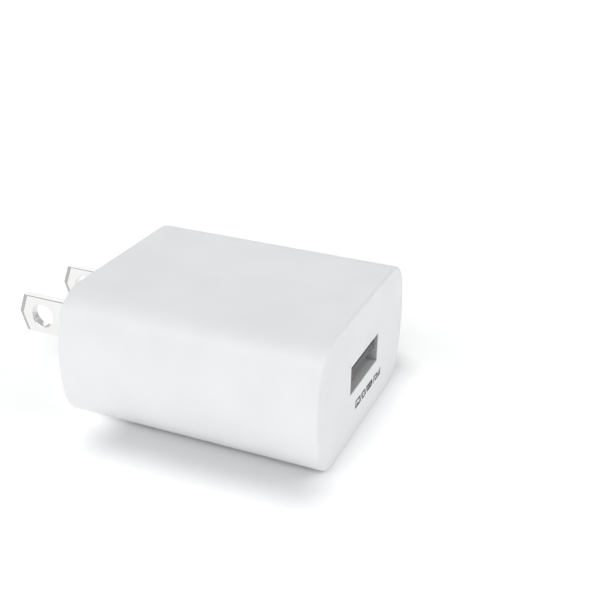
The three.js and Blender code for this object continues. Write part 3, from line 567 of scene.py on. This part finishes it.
def make_piece(bm, name, slot, body, *nodes, finish=None, second=None):
    """Turns a finished mesh in millimetres into a piece that rides on a body."""
    bmesh.ops.remove_doubles(bm, verts=bm.verts, dist=SAME_PLACE)
    bmesh.ops.recalc_face_normals(bm, faces=bm.faces)
    bmesh.ops.scale(bm, vec=(MM, MM, MM), verts=bm.verts)
    mesh = bpy.data.meshes.new(name)
    open_edges = sum(1 for e in bm.edges if not e.is_manifold)
    bm.to_mesh(mesh)
    bm.free()
    mesh.shade_smooth()
    mesh.set_sharp_from_angle(angle=SHARP)
    piece = bpy.data.objects.new(name, mesh)
    bpy.context.scene.collection.objects.link(piece)
    even = piece.modifiers.new("even_shading", "WEIGHTED_NORMAL")
    even.keep_sharp = True
    for material in (finish or finishes[slot], second):
        if material:
            mesh.materials.append(material)
    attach(piece, body)
    if nodes:
        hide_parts(*nodes)
    print(name, len(mesh.polygons), "faces,", open_edges, "open edges")
    return piece


# %% [markdown]
# ## Case
#
# One injection moulding, open at the wall end. Its outside is a plain tube of the section with a
# crisp rim, closed by the port face. Inside that face a collar finds the port's shell.
#
# A solid block could be hollowed by booleans, but a bevel run along their cuts often tears. Here the
# case is a stack of outlines that goes over the outside, round the mouth and down the inside, and
# out again through the port, so the wall has its real thickness everywhere. Each rim's round is a
# few extra outlines along a quarter circle.

# %% Case sizes
WALL = 1.8
MOUTH_RIM = 1.1
COVER_DEPTH = 2.05
LIP = 0.15
COLLAR_DEPTH = 3.3
COLLAR_WALL = 1.2
COLLAR_CORNER = 1.0
POCKET_WIDTH, POCKET_HEIGHT = 13.4, 6.0
POCKET_CORNER = 0.6
OPENING_WIDTH, OPENING_HEIGHT = 12.4, 4.9
OPENING_CORNER = 0.12
PORT_RIM_ROUND, PORT_RIM_STEPS = 0.45, 5
WALL_RIM_ROUND, WALL_RIM_STEPS = 0.35, 4
OPENING_ROUND, OPENING_STEPS = 0.05, 3
print("opening", OPENING_WIDTH, "x", OPENING_HEIGHT, "mm in a wall of", WALL, "mm")

# %% Case mesh
bm = bmesh.new()
port_rim = quarter(PORT_RIM_ROUND, PORT_RIM_STEPS)
wall_rim = quarter(WALL_RIM_ROUND, WALL_RIM_STEPS)
outside = [case_outline(bm, inset, PORT_Y + back) for inset, back in port_rim]
outside += [case_outline(bm, inset, -back) for inset, back in reversed(wall_rim)]
inside = [case_outline(bm, MOUTH_RIM, 0), case_outline(bm, MOUTH_RIM, -COVER_DEPTH)]
cavity = [case_outline(bm, WALL, -COVER_DEPTH), case_outline(bm, WALL, PORT_Y + WALL)]
walled(bm, *outside)
walled(bm, *inside)
walled(bm, *cavity)
plate(bm, outside[-1], inside[0])
plate(bm, inside[1], cavity[0])


def port_outline(width, height, corner, back):
    """An outline centred on the port, set back from the port face."""
    return slot_outline(bm, (0, PORT_Y + back, 0), width, height, corner)


collar = (POCKET_WIDTH + 2 * COLLAR_WALL, POCKET_HEIGHT + 2 * COLLAR_WALL, COLLAR_CORNER)
pocket = (POCKET_WIDTH, POCKET_HEIGHT, POCKET_CORNER)
collar_foot, collar_top = port_outline(*collar, WALL), port_outline(*collar, COLLAR_DEPTH)
pocket_top, pocket_foot = port_outline(*pocket, COLLAR_DEPTH), port_outline(*pocket, LIP)
mouth = []
for grown, back in reversed(quarter(OPENING_ROUND, OPENING_STEPS)):
    size = (OPENING_WIDTH + 2 * grown, OPENING_HEIGHT + 2 * grown, OPENING_CORNER + grown)
    mouth.append(port_outline(*size, back))
lip_inner = port_outline(OPENING_WIDTH, OPENING_HEIGHT, OPENING_CORNER, LIP)
walled(bm, collar_foot, collar_top)
walled(bm, pocket_top, pocket_foot)
walled(bm, lip_inner, *mouth)
plate(bm, cavity[1], collar_foot)
plate(bm, collar_top, pocket_top)
plate(bm, pocket_foot, lip_inner)
plate(bm, mouth[-1], outside[0])
make_piece(bm, "moulded_case", "case_plastic", "charger", "housing")

# %% [markdown]
# ## End cover
#
# The cover is a plate welded into the case mouth, flush with its rim, with a slot for each blade. A
# skirt behind it holds it straight while it is welded. A shallow step runs round each slot: a moulder
# puts one there so that any flash stays below the face. The slots could be cut by booleans, which
# leave thin slivers beside a round. Its flat faces are filled between their outlines instead.

# %% Cover sizes
COVER_GAP = 0.12
COVER_THICKNESS = 2.0
COVER_ROUND, COVER_STEPS = 0.2, 3
BLADE_LOW, BLADE_HIGH = box_mm("blade_right")
BLADE_X = (BLADE_LOW.x + BLADE_HIGH.x) / 2
SLOT_WIDTH, SLOT_HEIGHT, SLOT_CORNER = 1.8, 6.6, 0.2
STEP_WIDTH, STEP_DEPTH = 0.5, 0.2
SKIRT_INSET, SKIRT_THICKNESS = 1.92, 1.0
SKIRT_END = box_mm("back_cover")[0].y
print("slots", round(2 * BLADE_X, 2), "mm apart, skirt to y =", round(SKIRT_END, 2), "mm")

# %% Cover mesh
bm = bmesh.new()
cover_inset = MOUTH_RIM + COVER_GAP
rim = [case_outline(bm, cover_inset + inset, -back) for inset, back in quarter(COVER_ROUND, COVER_STEPS)]
rim.append(case_outline(bm, cover_inset, -COVER_THICKNESS))
walled(bm, *rim)
front_holes, back_holes = [], []
for x in (-BLADE_X, BLADE_X):
    wide = (SLOT_WIDTH + 2 * STEP_WIDTH, SLOT_HEIGHT + 2 * STEP_WIDTH, SLOT_CORNER + STEP_WIDTH)
    step_top, step_foot = [slot_outline(bm, (x, y, 0), *wide) for y in (0, -STEP_DEPTH)]
    slot_top, slot_foot = [slot_outline(bm, (x, y, 0), SLOT_WIDTH, SLOT_HEIGHT, SLOT_CORNER)
                           for y in (-STEP_DEPTH, -COVER_THICKNESS)]
    walled(bm, step_top, step_foot)
    walled(bm, slot_top, slot_foot)
    plate(bm, step_foot, slot_top)
    front_holes.append(step_top)
    back_holes.append(slot_foot)
skirt_inner = SKIRT_INSET + SKIRT_THICKNESS
skirt = [case_outline(bm, inset, y) for inset, y in (
    (SKIRT_INSET, -COVER_THICKNESS), (SKIRT_INSET, SKIRT_END),
    (skirt_inner, SKIRT_END), (skirt_inner, -COVER_THICKNESS))]
walled(bm, *skirt)
plate(bm, rim[0], *front_holes)
plate(bm, rim[-1], skirt[0])
plate(bm, skirt[-1], *back_holes)
make_piece(bm, "end_cover", "case_plastic", "charger", "back_cover")

# %% [markdown]
# ## Blades
#
# Each blade is stamped from flat strip, with a hole near the end and a blunt point. The press also
# coins a facet along both slopes of the point, on both faces, so that the blade finds the outlet's
# slot. Tumbling and plating leave a small round on every stamped edge.
#
# Solidify and Bevel modifiers could give the plain edges, but the bevel would soften the facets too,
# and a coined facet is crisp. So half the thickness is made first: the flat outline is filled round
# its hole, raised, and drawn in a little at a time for the round. The other half is its mirror image,
# and the facets are then cut across both.

# %% Blade sizes
HALF_WIDTH = 3.25
HALF_THICKNESS = 0.75
BLADE_REACH = BLADE_HIGH.y
HOLE_RADIUS, HOLE_STEPS = 2.0, 64
HOLE_REACH = 11.5
TIP_RISE = 1.1
FACET_REACH = 0.85
FACET_LEFT = 0.35
EDGE_ROUND, EDGE_STEPS = 0.16, 4
SHOULDER_Y, TANG_Y = -2.05, -3.25
SHOULDER_HALF, TANG_HALF = BLADE_HIGH.z, 1.8
ROOT_HALF = (BLADE_HIGH.x - BLADE_LOW.x) / 2
ROOT_STAND, ROOT_ROUND = 0.15, 0.06
print("blade reaches", round(BLADE_REACH, 2), "mm; root", round(2 * ROOT_HALF, 2), "mm thick")


# %% Blade mesh
def blade_outline(bm):
    """The stamped outline and its hole, flat on the middle plane."""
    half = [(BLADE_REACH - TIP_RISE, HALF_WIDTH), (SHOULDER_Y, HALF_WIDTH), (SHOULDER_Y, SHOULDER_HALF),
            (TANG_Y, SHOULDER_HALF), (TANG_Y, TANG_HALF), (BLADE_LOW.y, TANG_HALF)]
    corners = [(BLADE_REACH, 0)] + half + [(y, -z) for y, z in reversed(half)]
    verts = [bm.verts.new((0, y, z)) for y, z in corners]
    outline = [bm.edges.new(pair) for pair in zip(verts, verts[1:] + verts[:1])]
    upright = Matrix.Translation((0, HOLE_REACH, 0)) @ Matrix.Rotation(pi / 2, 4, "Y")
    ring = bmesh.ops.create_circle(bm, segments=HOLE_STEPS, radius=HOLE_RADIUS, matrix=upright)["verts"]
    return outline, edges_among(bm, ring)


def raised(bm, faces, height):
    """Raises a flat region squarely along +X and returns its new top."""
    made = bmesh.ops.extrude_face_region(bm, geom=faces)["geom"]
    lifted = [g for g in made if isinstance(g, bmesh.types.BMVert)]
    bmesh.ops.translate(bm, vec=(height, 0, 0), verts=lifted)
    return [g for g in made if isinstance(g, bmesh.types.BMFace)]


def cut_off(bm, point, normal):
    """Cuts away what lies beyond a plane and closes the cut with a coined facet."""
    geom = bm.verts[:] + bm.edges[:] + bm.faces[:]
    cut = bmesh.ops.bisect_plane(bm, geom=geom, plane_co=point, plane_no=normal, clear_outer=True)
    rim = [g for g in cut["geom_cut"] if isinstance(g, bmesh.types.BMEdge)]
    for face in bmesh.ops.holes_fill(bm, edges=rim, sides=0)["faces"]:
        face.material_index = 1


def make_blade(x):
    """One blade at a place along X, with the thicker root by which it leaves the cover."""
    bm = bmesh.new()
    plate(bm, *blade_outline(bm))
    top = raised(bm, bm.faces[:], HALF_THICKNESS - EDGE_ROUND)
    rounds = quarter(EDGE_ROUND, EDGE_STEPS)[::-1]
    for (inset, back), (next_inset, next_back) in zip(rounds, rounds[1:]):
        bmesh.ops.inset_region(bm, faces=top, thickness=next_inset - inset, depth=0, use_even_offset=True)
        corners = list({v for f in top for v in f.verts})
        bmesh.ops.translate(bm, vec=(back - next_back, 0, 0), verts=corners)
    middle_faces = [f for f in bm.faces if all(abs(v.co.x) < SAME_PLACE for v in f.verts)]
    bmesh.ops.delete(bm, geom=middle_faces, context="FACES")
    whole = bm.verts[:] + bm.edges[:] + bm.faces[:]
    bmesh.ops.mirror(bm, geom=whole, axis="X", merge_dist=SAME_PLACE)
    bmesh.ops.recalc_face_normals(bm, faces=bm.faces)
    slope = Vector((0, HALF_WIDTH, TIP_RISE)).normalized()
    for face in (-1, 1):
        for end in (-1, 1):
            outward = Vector((0, slope.y, end * slope.z))
            normal = Vector((face * FACET_REACH, 0, 0)) + outward * (HALF_THICKNESS - FACET_LEFT)
            cut_off(bm, (face * FACET_LEFT, BLADE_REACH, 0), normal.normalized())
    root = bmesh.ops.create_cube(bm, size=1)["verts"]
    depth = ROOT_STAND - SHOULDER_Y
    bmesh.ops.scale(bm, vec=(2 * ROOT_HALF, depth, 2 * HALF_WIDTH), verts=root)
    bmesh.ops.translate(bm, vec=(0, ROOT_STAND - depth / 2, 0), verts=root)
    rounded(bm, edges_among(bm, root), ROOT_ROUND)
    bmesh.ops.translate(bm, vec=(x, 0, 0), verts=bm.verts)
    return bm


for side, node in ((-1, "blade_left"), (1, "blade_right")):
    make_piece(make_blade(side * BLADE_X), node + "_stamping", "blade_metal", "charger", node,
               second=finishes["coined"])

# %% [markdown]
# ## Port
#
# The port is a folded steel shell round a moulded tongue that carries four sprung contacts on its
# underside. They could be modelled again, but the frame already has their exact shapes, and only the
# edges are too sharp. So a copy of each part is merged into one closed skin, its flat faces are
# joined up, and its edges are broken with a small bevel.

# %% Softened copies
TONGUE_BREAK = 0.08
SHELL_BREAK = 0.05
CONTACT_BREAK = 0.04
STILL_FLAT = radians(1)
CRISP = radians(25)


def softened(node, slot, body, radius):
    """A closed copy of a part of the frame, with its crisp edges broken."""
    bm = bmesh.new()
    bm.from_mesh(frame["nodes"][node].data)
    bmesh.ops.scale(bm, vec=(1 / MM, 1 / MM, 1 / MM), verts=bm.verts)
    bmesh.ops.remove_doubles(bm, verts=bm.verts, dist=SAME_PLACE)
    bmesh.ops.dissolve_limit(bm, angle_limit=STILL_FLAT, verts=bm.verts, edges=bm.edges)
    crisp = [e for e in bm.edges if len(e.link_faces) == 2 and e.calc_face_angle() > CRISP]
    rounded(bm, crisp, radius)
    return make_piece(bm, node + "_part", slot, body, node)


softened("usb_insulator", "insulator_plastic", "charger", TONGUE_BREAK)
softened("usb_shell", "shell_steel", "charger", SHELL_BREAK)
for number in range(1, 5):
    softened(f"usb_contact_{number}", "contact_gold", f"contact_{number}", CONTACT_BREAK)

# %% [markdown]
# ## Printed mark
#
# A small line of black print sits under the port. Pad printing lays ink a few hundredths of a
# millimetre thick, and it holds fine strokes well. The mark here carries no words: a tablet, a
# phone, a charging battery and a signal meter are drawn as thin outlines with slanted strokes
# between them, which is enough to say what the port feeds. It could be painted by a texture, but
# bars with their roots in the face stay sharp at any distance. The face was drawn back by the
# height of the ink, so the mark does not make the charger any longer.

# %% Mark sizes
STROKE = 0.29
SCREEN_LOW, SCREEN_HEIGHT = -6.0, 1.1
TABLET_LEFT, TABLET_WIDTH = -3.4, 1.8
TABLET_KEY = ((-2.75, -5.72), (-2.25, -5.72))
PHONE_LEFT, PHONE_WIDTH = -0.25, 0.85
BATTERY = (2.05, -5.9, 1.9, 0.9)
BATTERY_CELLS = (2.55, 3.0, 3.45)
BATTERY_CAP = 4.2
CELL_LOW, CELL_HIGH, CAP_HIGH = -5.6, -5.25, -5.3
METER = (5.7, -5.9, 0.9, 0.85)
METER_BARS = {7.1: -5.5, 7.6: -5.2, 8.1: -4.95}
SLANTS = (-1.15, 1.15, 4.8)
SLANT_LEAN = 0.4
STROKE_LOW, STROKE_HIGH = -5.95, -4.95
print("mark from x =", TABLET_LEFT, "to", max(METER_BARS), "mm, strokes", STROKE, "mm wide")


# %% Mark mesh
def bar(bm, start, end):
    """A thin printed stroke between two places on the port face, given as x and z."""
    along = Vector((end[0] - start[0], 0, end[1] - start[1]))
    made = bmesh.ops.create_cube(bm, size=1)["verts"]
    bmesh.ops.scale(bm, vec=(along.length + STROKE, 2 * INK_HEIGHT, STROKE), verts=made)
    turn = Matrix.Rotation(-atan2(along.z, along.x), 3, "Y")
    bmesh.ops.rotate(bm, cent=(0, 0, 0), matrix=turn, verts=made)
    middle = ((start[0] + end[0]) / 2, PORT_Y, (start[1] + end[1]) / 2)
    bmesh.ops.translate(bm, vec=middle, verts=made)


def frame_of_bars(bm, left, low, width, height):
    """Four strokes round a rectangle."""
    corners = [(left, low), (left + width, low), (left + width, low + height), (left, low + height)]
    for start, end in zip(corners, corners[1:] + corners[:1]):
        bar(bm, start, end)


bm = bmesh.new()
frame_of_bars(bm, TABLET_LEFT, SCREEN_LOW, TABLET_WIDTH, SCREEN_HEIGHT)
bar(bm, *TABLET_KEY)
frame_of_bars(bm, PHONE_LEFT, SCREEN_LOW, PHONE_WIDTH, SCREEN_HEIGHT)
frame_of_bars(bm, *BATTERY)
bar(bm, (BATTERY_CAP, CELL_LOW), (BATTERY_CAP, CAP_HIGH))
for x in BATTERY_CELLS:
    bar(bm, (x, CELL_LOW), (x, CELL_HIGH))
frame_of_bars(bm, *METER)
for x, top in METER_BARS.items():
    bar(bm, (x, STROKE_LOW), (x, top))
for x in SLANTS:
    bar(bm, (x, STROKE_LOW), (x + SLANT_LEAN, STROKE_HIGH))
make_piece(bm, "printed_mark", "case_plastic", "charger", finish=finishes["ink"])
